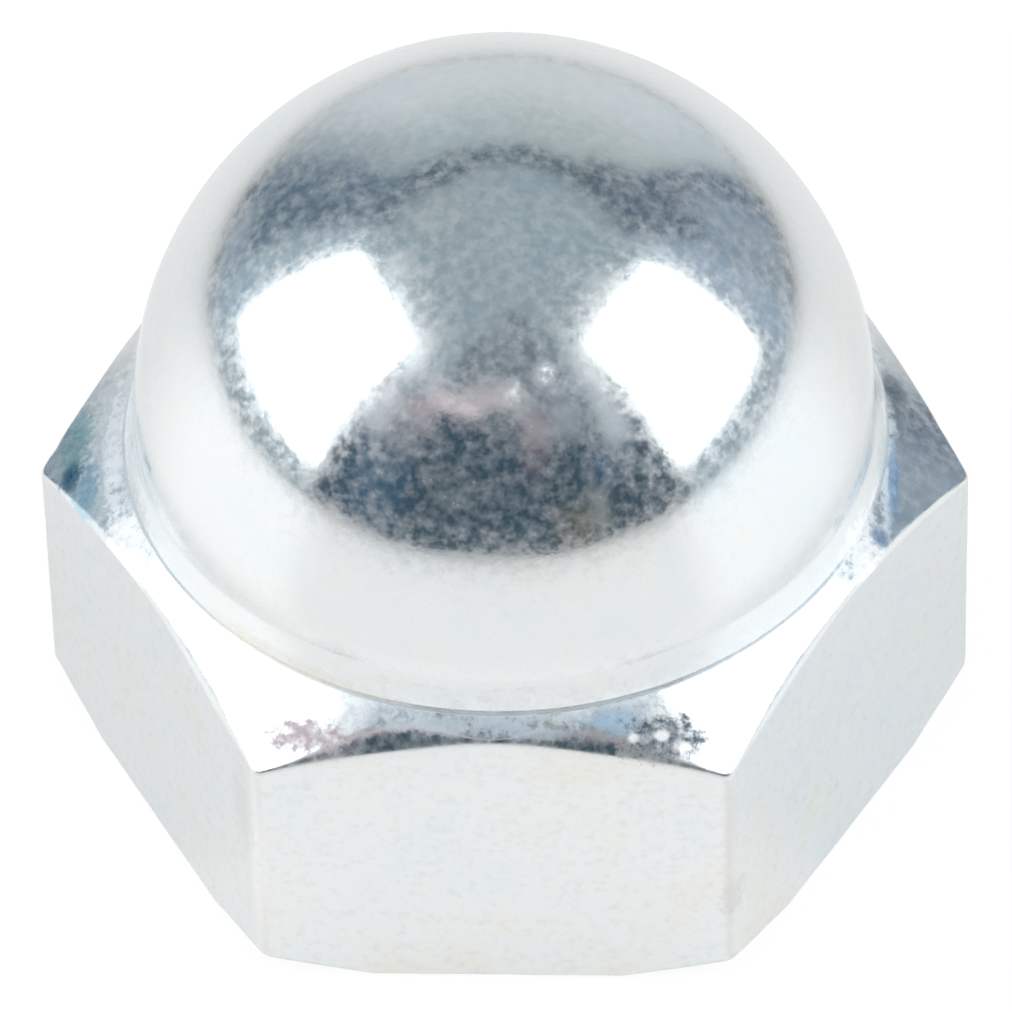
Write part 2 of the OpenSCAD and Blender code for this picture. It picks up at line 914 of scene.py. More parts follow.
@dataclass(frozen=True)
class Scratch:
    """A short pale scratch.

    Attributes:
        start: one of its ends, in millimetres.
        end: the other end.
        width: its width, in millimetres.
    """

    start: tuple[float, float, float]
    end: tuple[float, float, float]
    width: float = 0.065

    def share(self, where: Place, torn: Field) -> Field:
        """How far the scratch covers the plate.

        Args:
            where: the coordinates, in metres.
            torn: the pattern that breaks its rim.

        Returns:
            1 along its middle and 0 outside.
        """
        run = Vector(self.end) - Vector(self.start)
        offset = Place(where.tree, where.worked("SUBTRACT", tuple(Vector(self.start) * MM)).outputs[0])
        along = tuple(run / (run.length_squared * MM))
        passed = Field(where.tree, offset.worked("DOT_PRODUCT", along).outputs["Value"]).kept()
        there = combine(where.tree, *(passed * (step * MM) for step in run))
        return (1.1 - (offset - there).length() / (self.width * MM) + (torn - 0.5) * 4).kept()


PALE_BLUE = (0.78, 0.89, 0.96)
CHALK = (0.96, 0.97, 0.98)

STAINS = (
    Stain("rubbed left shoulder", (-6.3, -0.2, 5.6), (1.4, 2.6, 1.3),
          (0.85, 0.905, 0.93), 0.12, 0.34, 1.6),
    Stain("streaks beside the left neck", (-6.24, -0.4, 5.80), (0.27, 1.7, 0.5),
          (0.85, 0.89, 0.94), 0.1, 0.60, 5.0),
    Stain("teal run", (-6.92, 0.2, 5.25), (0.44, 1.1, 0.7),
          (0.34, 0.58, 0.60), 0.05, 0.12, 3.0),
    Stain("blue run", (-6.68, -0.95, 5.40), (0.36, 0.80, 0.5),
          (0.42, 0.66, 0.78), 0.05, 0.14, 3.6),
    Stain("deep blue corner", (-6.94, -0.50, 5.24), (0.28, 0.40, 0.38),
          (0.05, 0.20, 0.33), 0.05, 0.0, 2.6),
    Stain("pale end at the left", (-5.95, -2.50, 5.7), (0.66, 1.05, 0.6),
          CHALK, 0.1, 0.92, 2.2),
    Stain("dark spot at the right", (6.22, 1.15, 5.75), (0.34, 0.50, 0.4),
          (0.42, 0.45, 0.48), 0.0, 0.0, 2.0),
    Stain("pale run at the right", (6.20, -0.95, 5.90), (0.20, 1.5, 0.5),
          PALE_BLUE, 0.15, 0.55, 2.4),
    Stain("blue run at the right", (6.28, -0.95, 5.80), (0.14, 1.05, 0.5),
          (0.36, 0.54, 0.76), 0.05, 0.16, 2.2),
    Stain("pale end at the right", (5.84, -2.45, 5.76), (0.48, 0.85, 0.45),
          CHALK, 0.10, 0.80, 3.0),
    Stain("blue speck at the right", (6.04, -2.10, 5.70), (0.19, 0.24, 0.3),
          (0.30, 0.44, 0.60), 0.05, 0.1, 3.0),
    Stain("film at the left neck", (-5.85, -1.6, 5.98), (0.45, 1.6, 0.28),
          (0.50, 0.56, 0.58), 0.1, 0.62, 4.0, Zone.DOME),
    Stain("warm film at the neck", (-3.3, -5.1, 5.98), (2.6, 2.3, 0.2),
          (0.76, 0.735, 0.675), 0.1, 0.6, 3.0, Zone.DOME),
    Stain("film at the right neck", (6.08, -0.5, 5.97), (0.3, 0.9, 0.3),
          (0.50, 0.58, 0.60), 0.1, 0.6, 4.0, Zone.DOME),
    Stain("crust at the right neck", (5.7, -2.35, 5.95), (0.5, 1.1, 0.28),
          (0.86, 0.90, 0.91), 0.1, 0.8, 4.0, Zone.DOME),
    Stain("pale blue patch in front", (1.95, -6.12, 5.75), (0.8, 0.36, 0.28),
          (0.43, 0.60, 0.76), 0.1, 0.42, 2.6),
    Stain("pale run in front", (-0.6, -6.24, 5.78), (2.2, 0.22, 0.20),
          PALE_BLUE, 0.10, 0.32, 3.8),
    Stain("pale foot of the run", (0.70, -6.33, 5.70), (1.0, 0.17, 0.17),
          PALE_BLUE, 0.10, 0.26, 3.4),
    # Painted reflection: a dark, scattering patch on the front shoulder that stands in for a mirrored dark
    # surrounding.
    Stain("slate patch in front", (2.68, -6.14, 5.43), (0.98, 0.56, 0.42),
          (0.07, 0.10, 0.14), 0.1, 0.88, -2.6),
    Stain("first spot in the slate", (2.22, -6.24, 5.50), (0.12, 0.10, 0.10),
          CHALK, 0.1, 0.90, 1.5),
    Stain("second spot in the slate", (2.65, -6.14, 5.45), (0.20, 0.12, 0.12),
          CHALK, 0.1, 0.90, 1.5),
    Stain("third spot in the slate", (3.03, -6.21, 5.27), (0.15, 0.13, 0.14),
          CHALK, 0.1, 0.90, 1.5),
    # Painted reflection: a dull pink patch on the front shoulder that stands in for a mirrored pink
    # surrounding.
    Stain("warm patch in front", (-2.84, -6.12, 5.36), (1.25, 0.36, 0.32),
          (0.38, 0.325, 0.35), 0.1, 0.85, -2.5),
    # Painted highlight: a pale band along the flats' front left upright edge.
    Stain("pale left edge", (-3.78, -6.45, 2.8), (0.18, 0.6, 2.7),
          (0.90, 0.90, 0.89), 0.0, 0.0, 3.0, Zone.FLATS),
    # Painted shade: a grey band on the left flat beside that edge.
    Stain("grey left edge", (-4.05, -6.2, 3.6), (0.26, 0.6, 1.5),
          (0.76, 0.76, 0.76), 0.0, 0.0, 3.0, Zone.FLATS),
    Stain("worn right edge", (3.74, -6.4, 3.4), (0.17, 0.5, 1.9),
          (0.79, 0.785, 0.77), 0.0, 0.0, 4.0, Zone.FLATS),
    Stain("grey spot at its foot", (3.78, -6.4, 1.9), (0.26, 0.5, 0.55),
          (0.73, 0.735, 0.72), 0.0, 0.0, -4.0, Zone.FLATS),
)

SCRATCHES = (
    Scratch((-1.36, -4.28, 10.27), (-1.06, -3.97, 10.69)),
    Scratch((1.60, -5.03, 9.11), (2.11, -4.70, 9.36)),
    Scratch((1.88, -5.03, 8.92), (2.15, -4.87, 9.04)),
    Scratch((-1.36, -4.56, 9.93), (-0.88, -4.40, 10.28)),
)


@dataclass(frozen=True)
class ZincPlate:
    """Bright zinc plate with a blue-white passivate, over turned and rolled steel.

    Attributes:
        colour: colour of its reflections.
        blue: colour where the passivate is thick.
        warm: colour where it has yellowed.
        fleck: colour of the small dull flecks on the flats.
        worn: colour of the worn edges.
        dirt: colour of the dirt in the neck, dark enough to be painted shade in that hollow corner too.
        gloss: roughness of the polished dome and shoulder.
        specks: how much rougher the specks on them are.
        haze: how much of their reflections the haze scatters.
        salts: how much the salts left at the neck scatter.
        neck_radius: distance from the axis to the neck.
        neck_height: its height.
        salt_reach: how far from the neck the salts reach.
        satin: roughness of the flats.
        dull: roughness in the bore and on the bearing face.
        cloud: distance from one wisp of haze to the next.
        crackle: distance from one fleck to the next.
        grain: distance from one grain of the plate to the next.
        grain_height: height of that grain.
    """

    colour: Colour = (0.825, 0.845, 0.850)
    blue: Colour = (0.77, 0.83, 0.86)
    warm: Colour = (0.83, 0.825, 0.765)
    fleck: Colour = (0.70, 0.70, 0.67)
    worn: Colour = (0.78, 0.77, 0.73)
    dirt: Colour = (0.34, 0.35, 0.36)
    gloss: float = 0.12
    specks: float = 0.13
    haze: float = 0.135
    salts: float = 0.42
    neck_radius: float = 6.12 * MM
    neck_height: float = 5.90 * MM
    salt_reach: float = 0.34 * MM
    satin: float = 0.32
    dull: float = 0.40
    cloud: float = 0.19 * MM
    crackle: float = 0.16 * MM
    grain: float = 0.16 * MM
    grain_height: float = 0.0017 * MM

    # How the haze follows its wisps and clouds
    HAZE_WISPS = 3.4
    HAZE_CLOUDS = 1.4
    HAZE_BASE = 0.42
    # What the dirt and painted shade at the neck and a scratch scatter
    DIRT_CHALK = 0.7
    SCRATCH_CHALK = 0.30
    # The grain is stronger on the rolled flats
    GRAIN_ON_FLATS = 1.3
    GRAIN_BASE = 0.65
    LEAST_ROUGH = 0.05
    MOST_ROUGH = 0.7
    # How much of each tint there is, and how sharply it starts
    BLUE_SHARE = 0.7
    BLUE_FINE = 2.5
    WARM_SHARE = 0.8
    WARM_FINE = 3
    CLOUD_CONTRAST = 4
    FLECK_START = 0.52
    FLECK_TORN = 3.5
    FLECK_WISPS = 3
    FLECK_WISP_SHIFT = 0.03
    FLECKS_ON_FLATS = 0.34
    FLECKS_ELSEWHERE = 0.08
    WORN_TORN = 2.6
    WORN_START = 0.7
    WORN_SHARE = 0.6
    # Dirt and painted shade in the neck's hollow corner
    DIRT_GAIN = 1.5
    DIRT_TORN = 3
    DIRT_START = 0.2
    DIRT_LEAST = 0.02
    # How the salts at the neck follow the patterns
    SALT_GAIN = 1.5
    SALT_TORN = 3.5
    SALT_CLOUDS = 3
    SALT_START = 0.25
    # How much rougher the flats' flecks, the neck and the worn edges are
    FLECK_ROUGH = 0.10
    NECK_ROUGH = 0.20
    EDGE_ROUGH = 0.20

    def material(self) -> bpy.types.Material:
        """Builds the finish.

        Returns:
            The material.
        """
        made = bpy.data.materials.new("zinc_plate")
        made.use_nodes = True
        tree = made.node_tree
        shader = tree.nodes["Principled BSDF"]
        where = Place(tree, tree.nodes.new("ShaderNodeTexCoord").outputs["Object"])
        said = {name: read(tree, name.value) for group in (Zone, Mark, Cloud) for name in group}
        torn = noise(tree, where, self.crackle, 3.0, 0.65, 3 * MM)
        wisps = noise(tree, where, self.cloud, 4.0, 0.62, 5 * MM) - 0.5
        clouds = (said[Cloud.SMALL] - 0.5) * self.HAZE_CLOUDS
        haze = (wisps * self.HAZE_WISPS + clouds + self.HAZE_BASE).kept() * (1 - said[Zone.FLATS])
        colour = self.tints(tree, said, torn, wisps)
        roughness = self.dullness(said, torn, haze)
        salts = self.at_neck(where, torn, said[Cloud.SMALL])
        colour = mixed_colour(tree, colour, PALE_BLUE, salts)
        scattered = (haze * self.haze).highest(salts).highest(said[Mark.NECK] * self.DIRT_CHALK)
        for stain in STAINS:
            share = stain.share(where, torn) * said[stain.zone]
            colour = mixed_colour(tree, colour, stain.colour, share)
            roughness = roughness + share * stain.dull
            scattered = scattered + (stain.chalk - scattered) * share
        for scratch in SCRATCHES:
            share = scratch.share(where, torn)
            colour = mixed_colour(tree, colour, PALE_BLUE, share)
            scattered = scattered.highest(share * self.SCRATCH_CHALK)
        plug(tree, 1 - scattered, shader.inputs["Metallic"])
        plug(tree, colour, shader.inputs["Base Color"])
        plug(tree, roughness.kept(self.LEAST_ROUGH, self.MOST_ROUGH), shader.inputs["Roughness"])
        grain = noise(tree, where, self.grain, 2.0, 0.6, 11 * MM) * self.grain_height
        grain = grain * (said[Zone.FLATS] * self.GRAIN_ON_FLATS + self.GRAIN_BASE)
        bump = add_node(tree, "ShaderNodeBump", Height=grain, Distance=1.0, Strength=1.0)
        plug(tree, bump.outputs[0], shader.inputs["Normal"])
        return made

    def at_neck(self, where: Place, torn: Field, small: Field) -> Field:
        """Where salts from the bath are left at the neck.

        Args:
            where: the coordinates.
            torn: a ragged pattern.
            small: a cloudy pattern.

        Returns:
            How much of the light they scatter.
        """
        across, deep, height = where.parts()
        out = (across * across + deep * deep).root() - self.neck_radius
        up = height - self.neck_height
        near = 1 - (out * out + up * up).root() / self.salt_reach
        ragged = near * self.SALT_GAIN + (torn - 0.5) * self.SALT_TORN + (small - 0.5) * self.SALT_CLOUDS
        return (ragged - self.SALT_START).kept() * (near > 0) * self.salts

    def tints(
        self, tree: bpy.types.NodeTree, said: dict[Enum, Field], torn: Field, wisps: Field
    ) -> bpy.types.NodeSocket:
        """The plate's colour: clouds of blue and warm passivate, flecks, worn edges and a neck darkened by
        dirt and painted shade.

        Args:
            tree: the material's tree.
            said: the nut's attributes.
            torn: a ragged pattern.
            wisps: a softer one, around 0.

        Returns:
            Its colour.
        """
        flats = said[Zone.FLATS]
        broad, small = said[Cloud.BROAD] - 0.5, said[Cloud.SMALL] - 0.5
        blue = (broad * self.CLOUD_CONTRAST - small * self.BLUE_FINE).kept() * self.BLUE_SHARE
        warm = (broad * -self.CLOUD_CONTRAST + small * self.WARM_FINE).kept() * self.WARM_SHARE
        warm = warm * (flats * 0.5 + 0.5)
        specks = (torn - self.FLECK_START) * self.FLECK_TORN
        specks = specks + (wisps + self.FLECK_WISP_SHIFT) * self.FLECK_WISPS
        flecks = specks.kept() * (flats * self.FLECKS_ON_FLATS + self.FLECKS_ELSEWHERE)
        rubbed = torn * self.WORN_TORN - self.WORN_START
        worn = (said[Mark.EDGE] * rubbed).kept() * self.WORN_SHARE
        # Dark grey in the neck's hollow corner: dirt and painted shade together
        grimed_and_shaded = said[Mark.NECK] * self.DIRT_GAIN + (torn - 0.5) * self.DIRT_TORN
        grimed_and_shaded = (grimed_and_shaded - self.DIRT_START).kept()
        colour = mixed_colour(tree, self.colour, self.blue, blue)
        colour = mixed_colour(tree, colour, self.warm, warm)
        colour = mixed_colour(tree, colour, self.fleck, flecks)
        colour = mixed_colour(tree, colour, self.worn, worn)
        return mixed_colour(tree, colour, self.dirt, grimed_and_shaded * (said[Mark.NECK] > self.DIRT_LEAST))

    def dullness(self, said: dict[Enum, Field], torn: Field, haze: Field) -> Field:
        """The plate's roughness: glossy with duller specks, satin flats, a dull bore and neck.

        Args:
            said: the nut's attributes.
            torn: a ragged pattern.
            haze: how thick the haze is.

        Returns:
            Its roughness.
        """
        flats, dull = said[Zone.FLATS], said[Zone.BORE] + said[Zone.FACE]
        rough = self.gloss + (haze * torn) * (self.specks * 2) * (1 - flats - dull)
        rough = rough + flats * (self.satin - self.gloss) + dull * (self.dull - self.gloss)
        rough = rough + (torn - 0.5) * flats * self.FLECK_ROUGH
        return rough + said[Mark.NECK] * self.NECK_ROUGH + said[Mark.EDGE] * self.EDGE_ROUGH


def read(tree: bpy.types.NodeTree, name: str) -> Field:
    """Reads one of the nut's attributes."""
    return Field(tree, add_node(tree, "ShaderNodeAttribute", {"attribute_name": name}).outputs["Fac"])


def mixed_colour(
    tree: bpy.types.NodeTree, first: Value, second: Value, share: Number
) -> bpy.types.NodeSocket:
    """Mixes two colours.

    Args:
        tree: the tree.
        first: the colour at a share of 0.
        second: the colour at a share of 1.
        share: how much of the second there is.

    Returns:
        The mixed colour.
    """
    node = add_node(tree, "ShaderNodeMix", {"data_type": "RGBA"})
    plug(tree, share, node.inputs[0])
    for value, slot in ((first, node.inputs[6]), (second, node.inputs[7])):
        plug(tree, (*value, 1.0) if isinstance(value, tuple) else value, slot)
    return node.outputs[2]


# ---------------------------------------------------------------- the nut


@dataclass(frozen=True)
class CapNut:
    """The whole nut, one closed piece.

    Attributes:
        hexagon: its hexagon.
        dome: its dome.
        bore: its threaded bore.
        finish: its plate.
        dents: how deep the knocks on its edges are.
        waves: how high the broad waves of its surface are.
    """

    hexagon: Hexagon = field(default_factory=Hexagon)
    dome: Dome = field(default_factory=Dome)
    bore: ThreadedBore = field(default_factory=ThreadedBore)
    finish: ZincPlate = field(default_factory=ZincPlate)
    dents: float = 0.03 * MM
    waves: float = 0.010 * MM

    JOIN_DISTANCE = 1e-4 * MM
    SHIFT = 31.0 * MM
    BROAD_SIZE = 2.4 * MM
    SMALL_SIZE = 0.6 * MM
    WAVE_SIZE = 1.7 * MM
    SOFT_SIZE = 0.9 * MM
    KNOCK_SIZE = 0.7 * MM
    KNOCK_START = 0.6
    KNOCK_EDGE = 6

    @classmethod
    def from_frame(cls, loaded: dict) -> "CapNut":
        """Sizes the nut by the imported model.


        Returns:
            The nut.
        """
        low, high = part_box(CAD_NODE)
        thread = next(m for m in loaded["record"]["mounts"] if m["kind"] == "threaded_hole")
        return cls(
            hexagon=Hexagon(across_flats=high.y - low.y),
            dome=Dome(top=high.z),
            bore=ThreadedBore(minor_radius=thread["dims"]["r_mm"] * MM),
        )

    def build(self) -> bpy.types.Object:
        """Makes the nut's mesh, dresses it and ties it to the frame.

        Returns:
            The piece.
        """
        tree, sizes = self.plan()
        piece = grown("cap_nut_body", tree, sizes)
        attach(piece, BODY)
        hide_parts(CAD_NODE)
        LOG.info("%s: %d faces", piece.name, len(piece.data.polygons))
        return piece

    def plan(self) -> tuple[bpy.types.GeometryNodeTree, dict[str, float]]:
        """Builds the tree that makes the nut.

        Returns:
            The tree, and the value of each of its inputs by the input's identifier.
        """
        tree = bpy.data.node_groups.new("cap_nut_plan", "GeometryNodeTree")
        tree.is_modifier = True
        entry = tree.nodes.new("NodeGroupInput")
        sizes: dict[str, float] = {}
        parts = (self.hexagon, self.dome, self.bore)
        hexagon, dome, bore = (wired(tree, entry, part, sizes) for part in parts)
        columns = hexagon.columns()
        column, row, _ = Place(tree, tree.nodes.new("GeometryNodeInputPosition").outputs[0]).parts()
        way = hexagon.way_round(tree, (column + columns / 2 + 0.5).floor())
        stretches = self.outline(way, hexagon, dome, bore)
        rows = sum(stretch.rows for stretch in stretches)
        shape, said = lay_rows((row + rows / 2 + 0.5).floor(), stretches)
        rims = said[Mark.EDGE] * (1 - way.quarter * way.front)
        said[Mark.EDGE] = rims.highest(way.corner * said[Zone.FLATS])
        geometry = grid(tree, columns, rows)
        for name, value in said.items():
            geometry = stored(tree, geometry, name.value, value)
        geometry = add_node(tree, "GeometryNodeSetPosition", Geometry=geometry, Position=shape).outputs[0]
        merge = {"Geometry": geometry, "Distance": self.JOIN_DISTANCE}
        geometry = self.worn(tree, add_node(tree, "GeometryNodeMergeByDistance", **merge).outputs[0])
        close_tree(tree, geometry, self.finish.material())
        return tree, sizes

    def outline(self, way: Round, hexagon: Hexagon, dome: Dome, bore: ThreadedBore) -> list[Stretch]:
        """Joins the parts' outlines, from the drill's point to the top of the dome.

        Args:
            way: the way round.
            hexagon: the hexagon, with its sizes as the tree's inputs.
            dome: the dome, likewise.
            bore: the bore, likewise.

        Returns:
            The stretches, in order.
        """
        corners = [
            bore.mouth(way),
            *hexagon.corners(way, dome.off(way.tree)),
            *dome.corners(way, hexagon.slope(dome.radius + dome.flare)),
        ]
        return [
            bore.drilled_point(way),
            bore.thread(way),
            *run_through(bore.rim(way), corners, dome.spring(way), 1, Zone.DOME),
            dome.arc(way),
        ]

    def worn(self, tree: bpy.types.NodeTree, geometry: bpy.types.NodeSocket) -> bpy.types.NodeSocket:
        """Makes the mesh uneven: slow clouds, broad waves, and knocks on the edges.

        Args:
            tree: the tree.
            geometry: the nut's mesh.

        Returns:
            The worn mesh.
        """
        place = tree.nodes.new("GeometryNodeInputPosition").outputs[0]
        normal = Place(tree, tree.nodes.new("GeometryNodeInputNormal").outputs[0])
        broad = noise(tree, place, self.BROAD_SIZE, 3.0, 0.6, self.SHIFT)
        geometry = stored(tree, geometry, Cloud.BROAD.value, broad)
        small = noise(tree, place, self.SMALL_SIZE, 3.0, 0.65, 2 * self.SHIFT)
        geometry = stored(tree, geometry, Cloud.SMALL.value, small)
        edge = Field(tree, add_node(tree, "GeometryNodeInputNamedAttribute", Name=Mark.EDGE.value).outputs[0])
        wave = (noise(tree, place, self.WAVE_SIZE, 1.0, 0.5, 3 * self.SHIFT) - 0.5) * self.waves
        soft = noise(tree, place, self.SOFT_SIZE, 2.0, 0.5, 4 * self.SHIFT) - 0.5
        knock = noise(tree, place, self.KNOCK_SIZE, 2.0, 0.6, 5 * self.SHIFT) - self.KNOCK_START
        knock = (knock * self.KNOCK_EDGE).kept()
        depth = (soft * 0.5 + knock) * edge * self.dents + wave
        return add_node(
            tree, "GeometryNodeSetPosition", Geometry=geometry, Offset=normal * (depth * -1)
        ).outputs[0]


def wired(
    tree: bpy.types.NodeTree,
    entry: bpy.types.Node,
    part: Hexagon | Dome | ThreadedBore,
    sizes: dict[str, float],
) -> Hexagon | Dome | ThreadedBore:
    """Gives the tree a named input for each of a part's sizes.

    Args:
        tree: the tree.
        entry: its Group Input node.
        part: the part, with plain sizes.
        sizes: filled with each input's value, by its identifier.

    Returns:
        The same part, with the inputs in place of its sizes.
    """
    inputs = {}
    for size in fields(part):
        name = f"{type(part).__name__} {size.name}".replace("_", " ")
        socket = tree.interface.new_socket(name=name, in_out="INPUT", socket_type="NodeSocketFloat")
        sizes[socket.identifier] = getattr(part, size.name)
        inputs[size.name] = Field(tree, entry.outputs[name])
    return replace(part, **inputs)


def lay_rows(row: Field, stretches: Sequence[Stretch]) -> tuple[Place, dict[Zone | Mark, Field]]:
    """Gives each row its place, its zone and its marks.

    Args:
        row: the row's number.
        stretches: the outline, in order.

    Returns:
        The place of each point, and what each zone's and mark's attribute says there.
    """
    place = None
    said: dict[Zone | Mark, Field] = {}
    start = 0
    for stretch in stretches:
        end = start + stretch.rows
        share = ((row - start) / stretch.rows).kept()
        here = stretch.rule(share)
        place = here if place is None else switched(row.tree, row > start, place, here)
        inside = (row > start) * (row < end + 1)
        said[stretch.zone] = said[stretch.zone] + inside if stretch.zone in said else inside
        if stretch.mark:
            bulge = share * (1 - share) * 4
            said[stretch.mark] = said[stretch.mark] + bulge if stretch.mark in said else bulge
        start = end
    return place, said


def switched(tree: bpy.types.NodeTree, test: Field, before: Place, after: Place) -> Place:
    """Chooses between two places.

    Args:
        tree: the tree.
        test: 0 for the first and 1 for the second.
        before: the first place.
        after: the second place.

    Returns:
        The chosen one.
    """
    node = tree.nodes.new("GeometryNodeSwitch")
    node.input_type = "VECTOR"
    for slot, value in zip(node.inputs, (test, before, after)):
        plug(tree, value, slot)
    return Place(tree, node.outputs[0])


# ---------------------------------------------------------------- the studio


def heading(azimuth: float, elevation: float) -> Vector:
    """The direction of a heading.

    Args:
        azimuth: degrees from the front towards the right.
        elevation: degrees above the floor.

    Returns:
        The direction, of length 1.
    """
    a, e = math.radians(azimuth), math.radians(elevation)
    return Vector((math.sin(a) * math.cos(e), -math.cos(a) * math.cos(e), math.sin(e)))


@dataclass(frozen=True)
class Patch:
    """A soft-edged area of the tent, as the nut sees it.

    Attributes:
        name: what it is.
        azimuth: heading of its middle, in degrees.
        half_width: half its width, in degrees.
        low: its lower edge, in degrees above the floor.
        high: its upper edge.
        soft: width of its soft edge, in degrees.
        colour: its colour.
    """

    name: str
    azimuth: float
    half_width: float
    low: float
    high: float
    soft: float
    colour: Colour

    def share(self, azimuth: Field, elevation: Field) -> Field:
        """How far the patch covers the tent at a heading.

        Args:
            azimuth: the heading, in degrees.
            elevation: its height, in degrees.

        Returns:
            1 inside it and 0 outside.
        """
        away = (azimuth - self.azimuth).worked("WRAP", 180.0, -180.0).size()
        across = ((self.half_width - away) / self.soft + 0.5).eased()
        over = ((elevation - self.low) / self.soft + 0.5).eased()
        under = ((self.high - elevation) / self.soft + 0.5).eased()
        return across * over * under


@dataclass(frozen=True)
class SoftBox:
    """A soft box beside the nut.

    Attributes:
        name: its name.
        azimuth: heading of its middle, in degrees.
        elevation: height of its middle, in degrees.
        facing_azimuth: heading of its back.
        facing_elevation: tilt of its back.
        roll: how far it is turned in its own plane.
        width: its width, as a share of its distance.
        height: its height, likewise.
    """

    name: str
    azimuth: float
    elevation: float
    facing_azimuth: float
    facing_elevation: float
    roll: float
    width: float
    height: float

    DISTANCE = 0.26
    RADIANCE = 2.2

    def build(self) -> None:
        """Makes the lamp."""
        lamp = bpy.data.lights.new(self.name, "AREA")
        lamp.shape = "RECTANGLE"
        lamp.size = self.width * self.DISTANCE
        lamp.size_y = self.height * self.DISTANCE
        lamp.energy = self.RADIANCE * math.pi * lamp.size * lamp.size_y
        box = bpy.data.objects.new(self.name, lamp)
        back = heading(self.facing_azimuth, self.facing_elevation)
        turned = back.to_track_quat("Z", "Y").to_matrix().to_4x4()
        spin = Matrix.Rotation(math.radians(self.roll), 4, "Z")
        place = Matrix.Translation(heading(self.azimuth, self.elevation) * self.DISTANCE)
        box.matrix_world = place @ turned @ spin
        box.visible_camera = False
        bpy.context.scene.collection.objects.link(box)


SOFT_BOXES = (
    SoftBox("soft_box_left", -84.3, 38.3, -60.3, 8.7, -4.6, 0.82, 0.918),
    SoftBox("soft_box_right", 81.4, 36.9, 56.8, 16.4, 5.0, 0.768, 0.860),
)

TENT_PATCHES = (
    Patch("back wall", 182.5, 39.5, -20, 47, 4, (0.44, 0.51, 0.53)),
    Patch("back wall, lit low down", 183, 36, -30, 28, 30, (0.64, 0.69, 0.72)),
    Patch("back wall's left end", -141, 10, -20, 52, 22, (0.31, 0.37, 0.41)),
    Patch("back wall's upper right corner", 146, 8, 40, 52, 8, (0.14, 0.18, 0.22)),
    Patch("shade over the back wall", 180, 60, 48, 55, 8, (0.11, 0.15, 0.18)),
    Patch("shade over its left end", -155, 14, 49, 58, 6, (0.11, 0.15, 0.18)),
    Patch("haze over the left box", -70, 34, 56, 64, 6, (0.60, 0.65, 0.67)),
    Patch("haze over the right box", 78, 16, 56, 64, 6, (0.60, 0.65, 0.67)),
    Patch("left of the back wall", -130, 11, -20, 50, 9, (0.13, 0.19, 0.25)),
    Patch("haze behind the left box", -112, 6, -20, 54, 10, (0.36, 0.46, 0.54)),
    Patch("haze behind the right box", 110, 8, -20, 48, 10, (0.35, 0.44, 0.54)),
    Patch("right of the back wall", 130, 12, -20, 52, 7, (0.12, 0.165, 0.22)),
    Patch("pale foot of the right corner", 126, 9, -20, 28, 10, (0.29, 0.36, 0.43)),
    Patch("pale foot of the left corner", -124, 10, -20, 9, 8, (0.33, 0.40, 0.46)),
    Patch("dark front", 0, 57, -20, 45, 4, (0.050, 0.088, 0.120)),
    Patch("dark upper front", 5, 28, 43, 66, 7, (0.17, 0.215, 0.255)),
    Patch("dark top of the front", 13, 12, 62, 74, 7, (0.18, 0.225, 0.265)),
    Patch("navy side of the front", -38, 9, 4, 26, 10, (0.06, 0.12, 0.19)),
    Patch("brown corner of the front", 24, 6, 2, 12, 8, (0.12, 0.11, 0.09)),
    Patch("pale streak low in front", 30, 2.5, 5, 17, 5, (0.25, 0.29, 0.31)),
    Patch("pink arc's left part", -35, 9, 35, 43, 6, (0.46, 0.39, 0.42)),
    Patch("pink arc's middle", -18, 12, 42.5, 48.5, 3, (0.82, 0.69, 0.71)),
    Patch("pink arc's right part", -4, 8, 46.5, 51.5, 3, (0.66, 0.55, 0.58)),
    Patch("pink streak", 14, 4, 34, 44, 6, (0.44, 0.36, 0.39)),
    Patch("pink streak's foot", 12, 3, 26, 34, 6, (0.20, 0.15, 0.18)),
    Patch("pale blob", 7, 3, 47, 54, 3, (1.15, 1.18, 1.2)),
    Patch("small lamp", 24, 2.4, 52, 56.5, 2, (2.2, 2.2, 2.2)),
    Patch("glow beside the left box", -44, 4, 49, 58, 4, (1.1, 1.15, 1.2)),
    Patch("haze beside the left box", -47, 7, 28, 47, 8, (0.56, 0.61, 0.66)),
    Patch("haze under the pink arc", -33, 4, 26, 37, 8, (0.22, 0.25, 0.29)),
    Patch("haze right of the pink streak", 27, 7, 34, 46, 8, (0.32, 0.36, 0.40)),
    Patch("haze beside the right box", 43, 5, 26, 58, 7, (0.56, 0.62, 0.68)),
    Patch("blue speck", 35, 2.0, 20, 25, 3, (0.03, 0.13, 0.36)),
)


